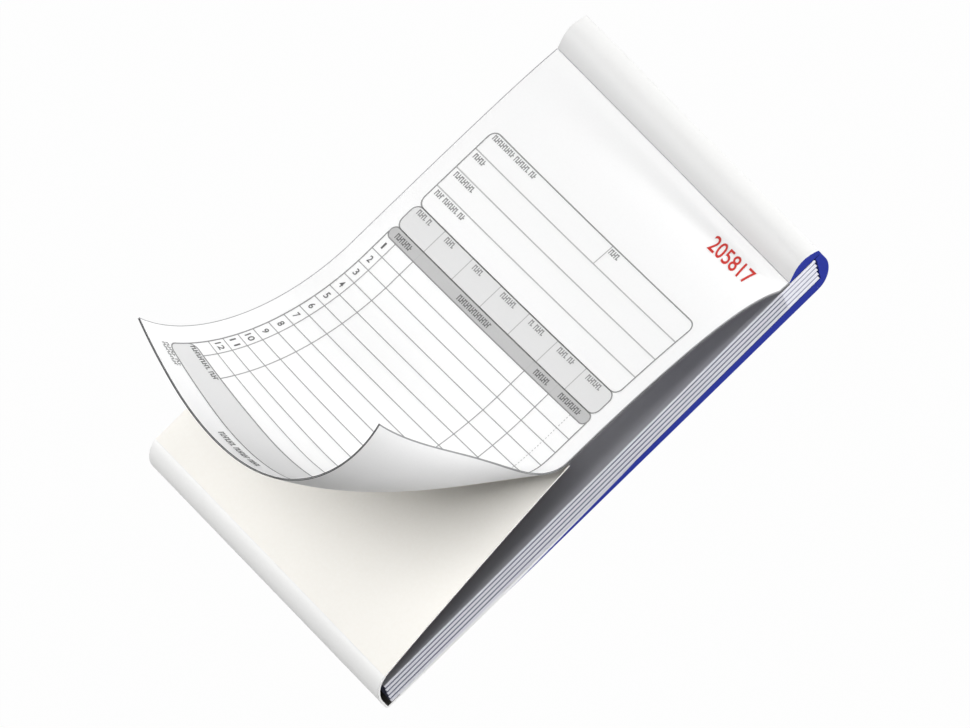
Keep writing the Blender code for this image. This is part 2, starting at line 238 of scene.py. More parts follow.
_, spine_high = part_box("spine_cover")
lip_low, lip_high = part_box("top_lip")
spine_out = lip_high.y - BUTT  # flush under the edge of the lip
spine_in = spine_high.y - SPINE_WALL
spine_top = spine_high.z
spine_foot = board_high.z
turn_in = board_high.y + BUTT
spine_outside = np.concatenate(
    [
        bend(
            (turn_in, 0),
            ((turn_in + spine_out) / 2, 0),
            (spine_out, SPINE_SIDE / 2),
            (spine_out, SPINE_SIDE),
        ),
        bend(
            (spine_out, SPINE_SIDE),
            (spine_out, (SPINE_SIDE + spine_top) / 2),
            (spine_out, spine_top - SPINE_SHOULDER / 3),
            (spine_out - SPINE_SHOULDER, spine_top),
        )[1:],
    ]
)
spine_inside = [
    (spine_in, spine_top),
    *SPINE_FILL,
    (SPINE_FILL[-1][0], spine_foot),
    (turn_in, spine_foot),
]
spine_wrap = carried("spine_wrap", np.concatenate([spine_outside, spine_inside]), pressboard)
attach(spine_wrap, "book")
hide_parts("spine_cover")

# Fold: the white wrap from under the foot of the block, rolled up round the ends of the pages to the
# crease of the flap. Coated white board outside, bare grey chipboard inside.
BOARD_FOLD = 0.0009
FOLD_FOOT = 0.0014  # rounding of the lower corner
FOLD_UPRIGHT = 0.0050  # height up to which the fold stands upright
CREASE_IN = 0.0075
CREASE_HEIGHT = 0.0160
CREASE_SLOPE = math.radians(10)
COATED_WHITE = "#F8F8F7"
COATED_SHADE = "#F1F1F0"
COATING = {"dark": COATED_SHADE, "light": COATED_WHITE, "size_mm": 1.2, "bump": 0.000006}
CHIPBOARD = "#6E6C6A"
CHIPBOARD_DARK = "#555351"


def strip(path, thickness):
    """Outline of a board of even thickness whose outer face follows a path, on the path's right."""
    run = np.gradient(path, axis=0)
    run /= np.linalg.norm(run, axis=1)[:, None]
    inner = path + thickness * np.stack([run[:, 1], -run[:, 0]], axis=1)
    return np.concatenate([path, inner[::-1]])


# Clay-coated board: smooth, faintly satin, with the ghost of its fibres. Chipboard: matt and flecked.
coated_board, tree, shader = finish("white_coated_board", roughness=0.45, ior=1.45)
mottle(tree, shader, **COATING)
chipboard, tree, shader = finish("grey_chipboard", roughness=0.9, ior=1.4)
mottle(tree, shader, CHIPBOARD_DARK, CHIPBOARD, FIBRE_MM, bump=0.00004)

fold_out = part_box("fold_wall")[0].y
crease = np.array([fold_out + CREASE_IN, CREASE_HEIGHT])
crease_run = np.array([math.cos(CREASE_SLOPE), math.sin(CREASE_SLOPE)])
wall_end = crease - crease_run * BUTT
fold_path = np.concatenate(
    [
        [(board_low.y - BUTT, 0)],
        bend(
            (fold_out + FOLD_FOOT, 0),
            (fold_out + FOLD_FOOT / 3, 0),
            (fold_out, FOLD_FOOT / 3),
            (fold_out, FOLD_FOOT),
        ),
        bend(
            (fold_out, FOLD_UPRIGHT),
            (fold_out, (FOLD_UPRIGHT + CREASE_HEIGHT) / 2),
            wall_end - crease_run * CREASE_IN / 2,
            wall_end,
        ),
    ]
)
inner_sides = slice(len(fold_path), 2 * len(fold_path) - 1)
fold_roll = carried(
    "fold_roll", strip(fold_path, BOARD_FOLD), coated_board, chipboard, second=inner_sides
)
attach(fold_roll, "book")
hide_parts("fold_wall")

# Packing: layers of white board laid on the turned-in end of the wrap, cut to a wedge, that carry the
# block up to the thickness of the back board. Glued to the turn-in.
BLOCK_FOOT = (-0.1085, 0.0012)  # y and z of the lower front edge of the block
BLOCK_LENGTH = 0.2165
BOARD_SPINE = 0.0042  # thickness of the back board at the spine
BLOCK_TILT = math.asin((BOARD_SPINE - BOARD_FOLD) / BLOCK_LENGTH)  # the block lies on the sloping board
PACKING_START = 0.004
PACKING_AIR = 0.00006

# Uncoated white board, matt, with its layers of fibre faintly showing on the cut side.
packing_board, tree, shader = finish("white_packing_board", roughness=0.8, ior=1.35)
mottle(tree, shader, LINING_SHADE, LINING, FIBRE_MM, bump=0.00002, stretch=FIBRE_LIE)


def under_block(y):
    """Height of the sloping underside of the block, less a little air."""
    return BLOCK_FOOT[1] + (y - BLOCK_FOOT[0]) * math.tan(BLOCK_TILT) - PACKING_AIR


packing_ends = (BLOCK_FOOT[0] + PACKING_START, board_low.y - BUTT)
packing_foot = [(y, BOARD_FOLD + BUTT) for y in packing_ends]
packing_top = [(y, under_block(y)) for y in packing_ends]
packing = carried("packing", packing_foot + packing_top[::-1], packing_board)
packing.modifiers.clear()
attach(packing, "book")

# Unused sets: thin carbonless plies in five bundles, jogged flush at the sides and cut with the cover.
# The cut edges look faintly lavender; the sets beside the gaps carry painted shade, a blue-grey, along
# theirs.
SET_WHITE = "#F6F6FB"
SET_GREY = "#E2E2EE"
GAP_SHADE = "#8F93AC"
GAP_SHADE_DARK = "#747892"
GRAIN_MM = 12.0
PLIES_MM = 0.45  # three plies, drawn as one grain, so that it shows
EDGE_GRAIN = (0.15, 0.15, GRAIN_MM / PLIES_MM)  # long along the sheets
BUNDLE = 10
BUNDLES = 5
PAGE_LENGTH = 0.198
FAN_STEP = 0.0005  # how far a bundle is stepped towards the spine
TEAR_GAP = 0.0005
BLOCK_HEIGHT = 0.010588

# Thin bond paper on edge: matt, with a fine grain along the plies.
set_paper, tree, shader = finish("stacked_carbonless_paper", roughness=0.8, ior=1.35)
mottle(tree, shader, SET_GREY, SET_WHITE, GRAIN_MM, bump=0.000002, stretch=EDGE_GRAIN)
# The sets beside the gaps: the same paper in a darker blue-grey, painted shade of the gaps between the
# bundles.
gap_shaded_paper, tree, shader = finish("carbonless_paper_painted_gap_shade", roughness=0.85, ior=1.35)
mottle(tree, shader, GAP_SHADE_DARK, GAP_SHADE, GRAIN_MM, bump=0.000002, stretch=EDGE_GRAIN)
set_names = sorted(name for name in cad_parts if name.startswith("set_"))
for count, name in enumerate(set_names, start=1):
    beside_gap = count % BUNDLE in (0, 1) and 1 < count < len(set_names)
    dress(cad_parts[name], gap_shaded_paper if beside_gap else set_paper)

# Bound stubs and staples: the ends of all the sets, padded with glue and wire-stitched twice through,
# with the crowns flush under the lip. The gaps between the bundles run on in them as lines of painted
# shade. Bright steel wire.
BUNDLE_PITCH = 0.002266
FIRST_GAP = 0.00209  # middle of the lowest gap above the underside of the block
GAP_LINE = 0.00034
WIRE_BRIGHT = "#C9CBD0"
WIRE_DULL = "#A9ABB0"
DRAW_MARK_MM = 0.4
DRAW_MARK_LIE = (0.1, 1, 1)  # long along the crown

# The same paper stiffened by glue, a little smoother, with a grey line of painted shade at each gap.
stub_paper, tree, shader = finish("glued_paper_stubs", roughness=0.75, ior=1.4)
mottle(tree, shader, SET_GREY, SET_WHITE, GRAIN_MM, bump=0.000004, stretch=EDGE_GRAIN)
upward = np.array([0.0, -math.sin(BLOCK_TILT), math.cos(BLOCK_TILT)])
first_gap = np.array([0.0, *BLOCK_FOOT]) + FIRST_GAP * upward
above_gap = measured(tree, first_gap, upward)
to_gap = add(
    tree, "ShaderNodeMath", {0: above_gap, 1: BUNDLE_PITCH / 2}, operation="PINGPONG"
).outputs[0]
tinted(tree, shader, within(tree, to_gap, GAP_LINE / 2, GAP_LINE / 2), GAP_SHADE_DARK)
dress(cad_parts["bound_stubs"], stub_paper)

# Between each bundle and its stubs, the bridges of the perforation, uncut.
turn = np.array(
    [[math.cos(BLOCK_TILT), math.sin(BLOCK_TILT)], [-math.sin(BLOCK_TILT), math.cos(BLOCK_TILT)]]
)
for bundle in range(BUNDLES):
    front = PAGE_LENGTH + bundle * FAN_STEP + BUTT
    back = PAGE_LENGTH + bundle * FAN_STEP + TEAR_GAP - BUTT
    low = bundle * BUNDLE_PITCH
    high = min(low + BUNDLE_PITCH, BLOCK_HEIGHT)
    section = np.array([(front, low), (back, low), (back, high), (front, high)]) @ turn
    bridges = carried(f"perforation_{bundle + 1}", section + BLOCK_FOOT, stub_paper)
    bridges.modifiers.clear()
    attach(bridges, "book")

# Drawn wire: bright, with faint marks of the die along it.
wire, tree, shader = finish("drawn_steel_wire", roughness=0.28)
shader.inputs["Metallic"].default_value = 1.0
mottle(tree, shader, WIRE_DULL, WIRE_BRIGHT, DRAW_MARK_MM, bump=0.000004, stretch=DRAW_MARK_LIE)
for name in ("staple_left", "staple_right"):
    dress(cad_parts[name], wire)

# Lip: a strip of the cover board over the stubs and staples, crowned on top, with its front edge along
# the tear margin. Coated white on top, with painted shade along its front edge; its cut ends and
# underside show the blue board.
LIP_EDGE = 0.0004
LIP_CROWN = 0.0044
LIP_ROUND = 0.86  # share of a half wave in the section of the crown
LIP_SHADE_REACH = 0.015  # how far the painted shade reaches from the front edge
LIP_SHADE_GREY = "#CFCFCF"

# The same coated board, with painted shade along its front edge, where the sets are torn off: grey at
# the edge, fading out inwards.
lip_shaded_board, tree, shader = finish("coated_board_painted_shade", roughness=0.45, ior=1.45)
mottle(tree, shader, **COATING)
from_front = measured(tree, (0, lip_low.y, 0), (0, 1, 0))
tinted(tree, shader, within(tree, from_front, 0.0, LIP_SHADE_REACH), LIP_SHADE_GREY)

lip_length = (lip_high.y - lip_low.y) / math.cos(BLOCK_TILT)
lip_run = np.linspace(0, 1, 2 * CURVE_POINTS)
lip_rise = LIP_EDGE + (LIP_CROWN - LIP_EDGE) * np.sin(LIP_ROUND * math.pi * lip_run)
lip_section = np.stack([lip_run * lip_length, lip_rise], axis=1)
lip_section = np.concatenate([lip_section, [(lip_length, 0), (0, 0)]])
lip_section = lip_section @ turn + (lip_low.y + LIP_EDGE * math.sin(BLOCK_TILT), lip_low.z)
underside = len(lip_run)
cover_lip = carried("cover_lip", lip_section, lip_shaded_board, pressboard, second=underside, ends=1)
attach(cover_lip, "book")
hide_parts("top_lip")

# Flap: the free end of the wrap, hinged on the crease and tucked under the set in use. It springs up at
# its right side and stays low at its left. Cream board on top, grey chipboard underneath.
PAGE_WIDTH = 2 * PAGE_HALF
FLAP_REACH = 0.100
FLAP_RISE_RIGHT = 0.0145
FLAP_RISE_LEFT = 0.0008
FLAP_SPRING = 0.015  # run over which the flap springs off its crease
FLAP_SPRING_SHARE = 0.05  # share of its rise that this gives
FLAP_LEVEL = 1.1
FLAP_BOARD = 0.0005
FLAP_GRID = (60, 160)
CLIMB_POINTS = 240
CREAM = "#FCFAF5"
CREAM_SHADE = "#F7F4ED"

# Uncoated cover board: matt, a warm white.
cream_board, tree, shader = finish("cream_cover_board", roughness=0.6, ior=1.4)
mottle(tree, shader, CREAM_SHADE, CREAM, size_mm=1.2, bump=0.000006)


def settled(span, start_share, start_length, level=2):
    """Rise, as a share, along a sheet that leaves quickly and goes on as 1 - (1 - t)^level: straight at
    one, and level at its span at two. With it, the length that a rise of one loses: half the integral
    of the slope squared."""
    at = np.linspace(0, span, CLIMB_POINTS)
    quick = 1 - np.exp(-at / start_length)
    share = start_share * quick / quick[-1] + (1 - start_share) * (1 - (1 - at / span) ** level)
    slope = np.gradient(share, at)
    lost = np.concatenate([[0], np.cumsum(slope[1:] ** 2 + slope[:-1] ** 2)]) / 4 * at[1]
    return at, share, lost


def flap_rise(x):
    """Rise of the flap's free edge above its crease, from its left side to its right."""
    return FLAP_RISE_LEFT + (FLAP_RISE_RIGHT - FLAP_RISE_LEFT) * (x / PAGE_WIDTH + 0.5)


def off(points, distance):
    """A grid moved along its normals: the cross product of its steps along columns and rows."""
    across = np.gradient(points, axis=1)
    along = np.gradient(points, axis=0)
    normal = np.cross(across, along)
    return points + distance * normal / np.linalg.norm(normal, axis=-1)[..., None]


def shell(name, upper, lower, *finishes):
    """A closed thin sheet from the grids of its two faces, whose columns run along +X and whose rows
    run along +Y: the squares of each grid, and a rim of squares between their borders."""
    rows, columns = upper.shape[:2]
    index = np.arange(rows * columns).reshape(rows, columns)
    squares = np.stack([index[:-1, :-1], index[:-1, 1:], index[1:, 1:], index[1:, :-1]], axis=-1)
    squares = squares.reshape(-1, 4)
    border = np.concatenate([index[0, :-1], index[:-1, -1], index[-1, :0:-1], index[:0:-1, 0]])
    after = np.roll(border, -1)
    under = rows * columns
    rim = np.stack([border, border + under, after + under, after], axis=-1)
    faces = np.concatenate([squares, squares[:, ::-1] + under, rim])
    points = np.concatenate([upper.reshape(-1, 3), lower.reshape(-1, 3)])
    piece = new_piece(name, points, faces.tolist(), *finishes)
    if len(finishes) > 1:
        side = np.repeat([0, 1, 0], [len(squares), len(squares), len(rim)])
        piece.data.polygons.foreach_set("material_index", side.astype(np.int32))
    return piece


flap_at, flap_share, flap_lost = settled(FLAP_REACH, FLAP_SPRING_SHARE, FLAP_SPRING, FLAP_LEVEL)
flap_x, flap_run = np.meshgrid(
    np.linspace(-PAGE_HALF, PAGE_HALF, FLAP_GRID[0]), np.linspace(0, FLAP_REACH, FLAP_GRID[1])
)
flap_top = np.stack(
    [
        flap_x,
        crease[0] + flap_run - np.interp(flap_run, flap_at, flap_lost) * flap_rise(flap_x) ** 2,
        crease[1] + np.interp(flap_run, flap_at, flap_share) * flap_rise(flap_x),
    ],
    axis=-1,
)
tuck_flap = shell("tuck_flap", flap_top, off(flap_top, -FLAP_BOARD), cream_board, chipboard)
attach(tuck_flap, "flap")
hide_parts("flap")

# Set in use: two thin plies of white carbonless paper, held by their margin under the lip and creased
# at the tear line. They climb over the flap, lift at the foot and roll at the lower right corner.
MARGIN_RUN = 0.0043  # tear line to the front of the lip
MARGIN_SLOPE = math.radians(6)
TEAR_LINE = (0.0915849, 0.0159354)  # y and z
SET_SPRING = 0.015
SET_SPRING_SHARE = 0.5
REST_GAP = 0.001  # set to flap
PLY_STEP = 0.0005
CAD_PLY = 0.0002
PLY = 0.00012
PLY_GRID = (131, 185)
LIFT_LEFT = math.radians(78.0)
LIFT_RIGHT = math.radians(50.0)
LIFT_SAG = math.radians(11.0)  # by how much less the middle of the foot lifts
ROLL_DEPTH = 0.0750  # corner to the start of the roll
ROLL_ANGLE = math.radians(45.4)
ROLL_SKEW = 0.058  # slope of the line where the roll starts against the axis of the cone
ROLL_RADIUS = 0.0365  # at the corner
ROLL_TAPER = 0.760  # growth of the radius along the axis
ROLL_TIGHTEST = 0.0117
PAPER = "#FBFBFB"
PAPER_SHADE = "#F6F6F6"
SIDE_EDGE_SHADE = "#A2A2A4"
FOOT_EDGE_SHADE = "#5A5A5C"
EDGE_LINE = 0.00034

crest = TEAR_LINE[0] - (crease[0] + FLAP_REACH)
set_above_flap = CREASE_HEIGHT + REST_GAP + PLY_STEP + CAD_PLY / 2 - TEAR_LINE[1]
set_at, set_share, set_lost = settled(crest, SET_SPRING_SHARE, SET_SPRING)


def upper_ply(x, down):
    """Middle of the upper ply at x across the page and down from the tear line.

    The corner is first rolled, in the plane of the sheet, on a cone: a point a distance d past the line
    where the roll starts goes to r sin(d/r) past it and to r (1 - cos(d/r)) above it. The sheet then
    climbs from the tear line to the edge of the flap, higher at the right, and past the flap it bends
    up in an arc that turns furthest at the left and least near the middle, where a sag of 4 u (1 - u),
    with u across the page, is taken off. Above the tear line is the margin, on its own slope.
    """
    across, along = math.cos(ROLL_ANGLE), math.sin(ROLL_ANGLE)
    from_side = x - PAGE_HALF
    from_foot = down - PAGE_LENGTH
    along_axis = from_foot * across - from_side * along
    start = ROLL_DEPTH + ROLL_SKEW * along_axis
    past = np.maximum(from_side * across + from_foot * along + start, 0)
    cone = ROLL_RADIUS + ROLL_TAPER * along_axis
    radius = (cone + np.sqrt(cone**2 + 4 * ROLL_TIGHTEST**2)) / 2
    drawn_in = past - radius * np.sin(past / radius)
    above = radius * (1 - np.cos(past / radius))
    x = x - drawn_in * across
    down = down - drawn_in * along

    rise = set_above_flap + flap_rise(x)
    climb = np.minimum(down, crest)
    y = np.interp(climb, set_at, set_lost) * rise**2 - climb
    z = np.interp(climb, set_at, set_share) * rise + np.minimum(down, 0) * math.sin(MARGIN_SLOPE)

    share = x / PAGE_WIDTH + 0.5
    turned = LIFT_LEFT + (LIFT_RIGHT - LIFT_LEFT) * share - 4 * LIFT_SAG * share * (1 - share)
    arc = (PAGE_LENGTH - crest) / turned
    lifted = np.maximum(down - crest, 0) / arc
    y += (above - arc) * np.sin(lifted)
    z += arc * (1 - np.cos(lifted)) + above * np.cos(lifted)
    return np.stack([x, y + TEAR_LINE[0] - TEAR_GAP / 2, z + TEAR_LINE[1] + PLY_STEP / 2], axis=-1)


def on_ply(x, down, lift, reach=0.0001):
    """Points above the middle of the upper ply, along its normal, from steps of reach on each side."""
    across = upper_ply(x + reach, down) - upper_ply(x - reach, down)
    along = upper_ply(x, down - reach) - upper_ply(x, down + reach)
    normal = np.cross(across, along)
    normal /= np.linalg.norm(normal, axis=-1)[..., None]
    return upper_ply(x, down) + np.asarray(lift)[..., None] * normal


# Thin bond paper: matt, all but even, with a thin grey line of painted shade along its cut edges, darker
# along the foot.
paper, tree, shader = finish("white_carbonless_paper", roughness=0.75, ior=1.35)
mottle(tree, shader, PAPER_SHADE, PAPER, size_mm=0.9, bump=0.000004)
for cut, shade in (("from_side", SIDE_EDGE_SHADE), ("from_foot", FOOT_EDGE_SHADE)):
    distance = add(tree, "ShaderNodeAttribute", attribute_name=cut).outputs["Fac"]
    tinted(tree, shader, within(tree, distance, EDGE_LINE, EDGE_LINE / 3), shade)

ply_x, ply_down = np.meshgrid(
    np.linspace(-PAGE_HALF, PAGE_HALF, PLY_GRID[0]),
    np.linspace(PAGE_LENGTH, -MARGIN_RUN, PLY_GRID[1]),
)
cuts = {"from_side": PAGE_HALF - np.abs(ply_x), "from_foot": PAGE_LENGTH - ply_down}
for name, drop, replaced in (
    ("original_ply", 0.0, ("original_sheet", "margin_original")),
    ("duplicate_ply", PLY_STEP, ("duplicate_sheet", "margin_duplicate")),
):
    top = on_ply(ply_x, ply_down, np.full(ply_x.shape, PLY / 2 - drop))
    under = on_ply(ply_x, ply_down, np.full(ply_x.shape, -PLY / 2 - drop))
    ply = shell(name, top, under, paper)
    for cut, distance in cuts.items():
        made = ply.data.attributes.new(cut, "FLOAT", "POINT")
        made.data.foreach_set("value", np.tile(distance.reshape(-1), 2).astype(np.float32))
    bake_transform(ply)
    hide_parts(*replaced)

# Printed form: a ruled sales form in grey ink, with tinted cells, a darker heading bar, plain row
# numbers and rows of small marks as labels. Offset print: each ink is a thin film on the upper ply.
INK_FILM = 0.00002
TINT_LIFT = 0.00003
RULE_LIFT = 0.00006
LABEL_LIFT = 0.00011
INK_PATCHES = 1400.0  # patches to a metre, about 0.7 mm each
OUTLINE = 0.00050
RULE = 0.00042
TABLE_RULE = 0.00036
STEP = 0.0016  # longest run of one stretch of ink, so that it follows the curved paper
ARC_POINTS = 7
FORM_LEFT = -0.0622
FORM_RIGHT = 0.0636
CUSTOMER_TOP = 0.0320
CUSTOMER_ROW = 0.00948
CUSTOMER_ROWS = 4
CELLS_TOP = 0.0699
CELLS = 7
HEADING_TOP = 0.0808
TABLE_TOP = 0.0858
TABLE_ROW = 0.00676
TABLE_ROWS = 13
FOOT_BAND = 0.0130
CORNER = 0.0034
COLUMNS_FROM_LEFT = (0.0064, 0.0178)
COLUMNS_FROM_RIGHT = (0.0367, 0.0215)
CENTS_FROM_RIGHT = 0.0078
DATE_LINE = 0.0124
DOT = 0.0007
DOT_GAP = 0.0006
DOT_WIDTH = 0.00030

table_foot = TABLE_TOP + TABLE_ROWS * TABLE_ROW
cell_width = (FORM_RIGHT - FORM_LEFT) / CELLS


def rounded_area(left, top, right, foot, corner):
    """A filled box with rounded ends, as a grid: at a distance e from an end, less than the corner's
    radius r, the box is drawn in at top and foot by r - sqrt(r^2 - (r - e)^2)."""
    corner = min(corner, (foot - top) / 2)
    turn_in = corner * (1 - np.cos(np.linspace(0, math.pi / 2, ARC_POINTS)))
    straight = np.linspace(left + corner, right - corner, int((right - left) / STEP) + 2)
    x = np.concatenate([left + turn_in[:-1], straight, right - turn_in[-2::-1]])
    inset = np.maximum(corner - np.minimum(x - left, right - x), 0)
    inset = corner - np.sqrt(np.maximum(corner**2 - inset**2, 0))
    share = np.linspace(1, 0, int((foot - top) / STEP) + 2)[:, None]
    down = (top + inset) * (1 - share) + (foot - inset) * share
    return np.stack([np.broadcast_to(x, down.shape), down], axis=-1)


def rule(x0, down0, x1, down1, width=RULE):
    """A straight line of ink as a grid two points wide."""
    count = int(math.hypot(x1 - x0, down1 - down0) / STEP) + 2
    along = np.stack([np.linspace(x0, x1, count), np.linspace(down0, down1, count)], axis=-1)
    run = np.array([x1 - x0, down1 - down0])
    side = np.array([-run[1], run[0]]) / np.linalg.norm(run) * width / 2
    return np.stack([along + side, along - side], axis=1)


def rounded_line(left, top, right, foot, corner, width=OUTLINE):
    """The outline of a rounded box as a closed band two points wide: four quarter arcs, with the
    straight sides between them divided by STEP."""
    corner = min(corner, (foot - top) / 2)
    arc = np.linspace(0, math.pi / 2, ARC_POINTS)
    path = []
    for middle_x, middle_down, start in (
        (right - corner, top + corner, -math.pi / 2),
        (right - corner, foot - corner, 0),
        (left + corner, foot - corner, math.pi / 2),
        (left + corner, top + corner, math.pi),
    ):
        turned = start + arc
        path.append(np.stack([np.cos(turned), np.sin(turned)], axis=-1) * corner)
        path[-1] += (middle_x, middle_down)
    path = np.concatenate(path + [path[0][:1]])
    run = np.concatenate([[0], np.cumsum(np.linalg.norm(np.diff(path, axis=0), axis=1))])
    at = np.unique(np.concatenate([run, np.arange(0, run[-1], STEP)]))
    line = np.stack([np.interp(at, run, path[:, 0]), np.interp(at, run, path[:, 1])], axis=-1)
    ahead = np.roll(line[:-1], -1, axis=0) - np.roll(line[:-1], 1, axis=0)
    side = np.stack([-ahead[:, 1], ahead[:, 0]], axis=-1)
    side *= width / 2 / np.linalg.norm(side, axis=1)[:, None]
    return np.stack([line[:-1] + side, line[:-1] - side], axis=1)


def film(grid, ring=False):
    """Points (x, down, share of the film's height) and faces of one closed film of ink on a grid."""
    rows, columns = grid.shape[:2]
    index = np.arange(rows * columns).reshape(rows, columns)
    if ring:
        index = np.concatenate([index, index[:1]])
    squares = np.stack([index[:-1, :-1], index[:-1, 1:], index[1:, 1:], index[1:, :-1]], axis=-1)
    squares = squares.reshape(-1, 4)
    if ring:
        loops = [index[:, -1], index[::-1, 0]]
        pairs = np.concatenate([np.stack([one[:-1], one[1:]], axis=1) for one in loops])
    else:
        border = [index[0, :-1], index[:-1, -1], index[-1, :0:-1], index[:0:-1, 0]]
        border = np.concatenate(border)
        pairs = np.stack([border, np.roll(border, -1)], axis=1)
    under = rows * columns
    rim = np.stack([pairs[:, 0], pairs[:, 0] + under, pairs[:, 1] + under, pairs[:, 1]], axis=-1)
    faces = np.concatenate([squares, squares[:, ::-1] + under, rim])
    flat = grid.reshape(-1, 2)
    points = np.concatenate(
        [np.column_stack([flat, np.ones(under)]), np.column_stack([flat, np.zeros(under)])]
    )
    x, down = grid[..., 0], grid[..., 1]
    area = (x[:-1, :-1] - x[1:, 1:]) * (down[:-1, 1:] - down[1:, :-1])
    area -= (x[:-1, 1:] - x[1:, :-1]) * (down[:-1, :-1] - down[1:, 1:])
    return points, (faces if area.sum() < 0 else faces[:, ::-1]).tolist()


def printed(name, films, lift, finish_ink):
    """One piece of all the films of one ink, laid on the paper at a height above the ply's middle. The
    faces of each film count on from the points of the films before it."""
    points = np.concatenate([made for made, _ in films])
    starts = np.cumsum([0] + [len(made) for made, _ in films])
    faces = []
    for (_, made), start in zip(films, starts):
        faces += [[corner + start for corner in face] for face in made]
    x, down, share = points.T
    piece = new_piece(name, on_ply(x, down, PLY / 2 + lift + share * INK_FILM), faces, finish_ink)
    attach(piece, "set_in_use")


def ink(name, colour, bare=0.07):
    """Offset ink: an even film, a little patchy where the paper takes less of it."""
    made, tree, shader = finish(name, roughness=0.65, ior=1.35)
    where = add(tree, "ShaderNodeTexCoord").outputs["Object"]
    patches = add(tree, "ShaderNodeTexNoise", {"Vector": where, "Scale": INK_PATCHES, "Detail": 2.0})
    full = linear(colour)
    thin = tuple((1 - bare) * c + bare for c in full)
    shade = add(
        tree,
        "ShaderNodeMix",
        {"Factor": patches.outputs["Fac"], "A": full, "B": thin},
        data_type="RGBA",
    ).outputs["Result"]
    tree.links.new(shade, shader.inputs["Base Color"])
    return made


outline_ink = ink("grey_outline_ink", "#8A8A8A")
table_ink = ink("grey_table_ink", "#9C9C9C")
light_ink = ink("light_rule_ink", "#B8B8B8")
tint_ink = ink("pale_tint_ink", "#E0E0E0")
heading_ink = ink("heading_tint_ink", "#BDBDBD")
label_ink = ink("label_ink", "#8C8C8C")
dark_ink = ink("dark_label_ink", "#5E5E5E")
number_ink = ink("red_number_ink", "#C4281F", bare=0.03)

cell_box = (FORM_LEFT, CELLS_TOP, FORM_RIGHT, HEADING_TOP, CORNER)
heading_box = (FORM_LEFT, HEADING_TOP, FORM_RIGHT, TABLE_TOP, CORNER)
foot_box = (FORM_LEFT, table_foot, FORM_RIGHT, table_foot + FOOT_BAND, CORNER)
customer_box = (FORM_LEFT, CUSTOMER_TOP, FORM_RIGHT, CELLS_TOP, CORNER)
column_lines = [FORM_LEFT + width for width in COLUMNS_FROM_LEFT]
column_lines += [FORM_RIGHT - width for width in COLUMNS_FROM_RIGHT]
cents_line = FORM_RIGHT - CENTS_FROM_RIGHT

tints = [film(rounded_area(*cell_box)), film(rounded_area(*foot_box))]
outlines = [film(rounded_line(*box), True) for box in (customer_box, cell_box, heading_box, foot_box)]
for x in (FORM_LEFT, FORM_RIGHT):
    outlines.append(film(rule(x, TABLE_TOP - CORNER / 2, x, table_foot + CORNER, OUTLINE)))
table_rules = [film(rule(x, TABLE_TOP, x, table_foot)) for x in column_lines]
for row in range(1, TABLE_ROWS):
    down = TABLE_TOP + row * TABLE_ROW
    table_rules.append(film(rule(FORM_LEFT, down, FORM_RIGHT, down, TABLE_RULE)))
lights = []
for row in range(1, CUSTOMER_ROWS):
    down = CUSTOMER_TOP + row * CUSTOMER_ROW
    lights.append(film(rule(FORM_LEFT, down, FORM_RIGHT, down, OUTLINE)))
lights.append(film(rule(DATE_LINE, CUSTOMER_TOP, DATE_LINE, CUSTOMER_TOP + CUSTOMER_ROW)))
for cell in range(1, CELLS):
    x = FORM_LEFT + cell * cell_width
    lights.append(film(rule(x, CELLS_TOP, x, HEADING_TOP)))
for x in column_lines[1:]:
    lights.append(film(rule(x, HEADING_TOP, x, TABLE_TOP)))
for down in np.arange(TABLE_TOP, table_foot - DOT_GAP, DOT + DOT_GAP):
    lights.append(film(rule(cents_line, down, cents_line, down + DOT, DOT_WIDTH)))

# Labels: runs of small marks in two greys, in the rows, the cells, the heading bar and the notes. Their
# starts are measured from the edges of the form and from the line above them.
MARK_PITCH = 0.00105
MARK_WIDTH = 0.00040
BAR_ENDS = (0.00030, 0.00080)  # from one upright towards the next
BAR_LEVELS = (0.15, 0.85, 0.5)  # shares of the height
LABEL_HEIGHT = 0.0023
LABEL_DROP = 0.0008
ROW_INDENT = 0.0022
DATE_INDENT = 0.0010
CELL_INDENT = 0.0030
ROW_RUNS = ((0.0130, 0.0085, 0.0034), (0.0068,), (0.0118,), (0.0052, 0.0085, 0.0038))
DATE_RUNS = (0.0062,)
CELL_RUNS = (
    (0.0058, 0.0030),
    (0.0060,),
    (0.0062,),
    (0.0092,),
    (0.0030, 0.0058),
    (0.0062, 0.0040),
    (0.0085,),
)
NOTE_HEIGHT = 0.0014
NOTE_INDENT = 0.0002
NOTE_RUNS = {0.0006: (0.0070, 0.0040), 0.0025: (0.0110,)}  # by their drop below the foot band
HEADING_HEIGHT = 0.0024
HEADING_FROM_LEFT = {0.0040: 0.0095, 0.0440: 0.0200}  # the length of each run by its start
HEADING_FROM_RIGHT = {0.0330: 0.0090, 0.0175: 0.0130}
TOTAL_HEIGHT = 0.0022
TOTAL_INDENT = 0.0016
TOTAL_RUNS = (0.0118, 0.0052)
FOOT_NOTE_HEIGHT = 0.0030
FOOT_NOTE_START = (0.0430, 0.0032)  # from the left of the form and below the foot band
FOOT_NOTE_RUNS = (0.0088, 0.0075, 0.0060)


def dashes(left, top, runs, height):
    """A label as runs of marks that spell nothing: an upright at each pitch, and between two uprights a
    short bar whose height goes round three levels."""
    made = []
    for length in runs:
        count = max(int(length / MARK_PITCH), 2)
        for mark in range(count):
            x = left + mark * MARK_PITCH
            level = top + height * BAR_LEVELS[mark % len(BAR_LEVELS)]
            made.append(film(rule(x, top, x, top + height, MARK_WIDTH)))
            made.append(film(rule(x + BAR_ENDS[0], level, x + BAR_ENDS[1], level)))
        left += (count + 1) * MARK_PITCH
    return made


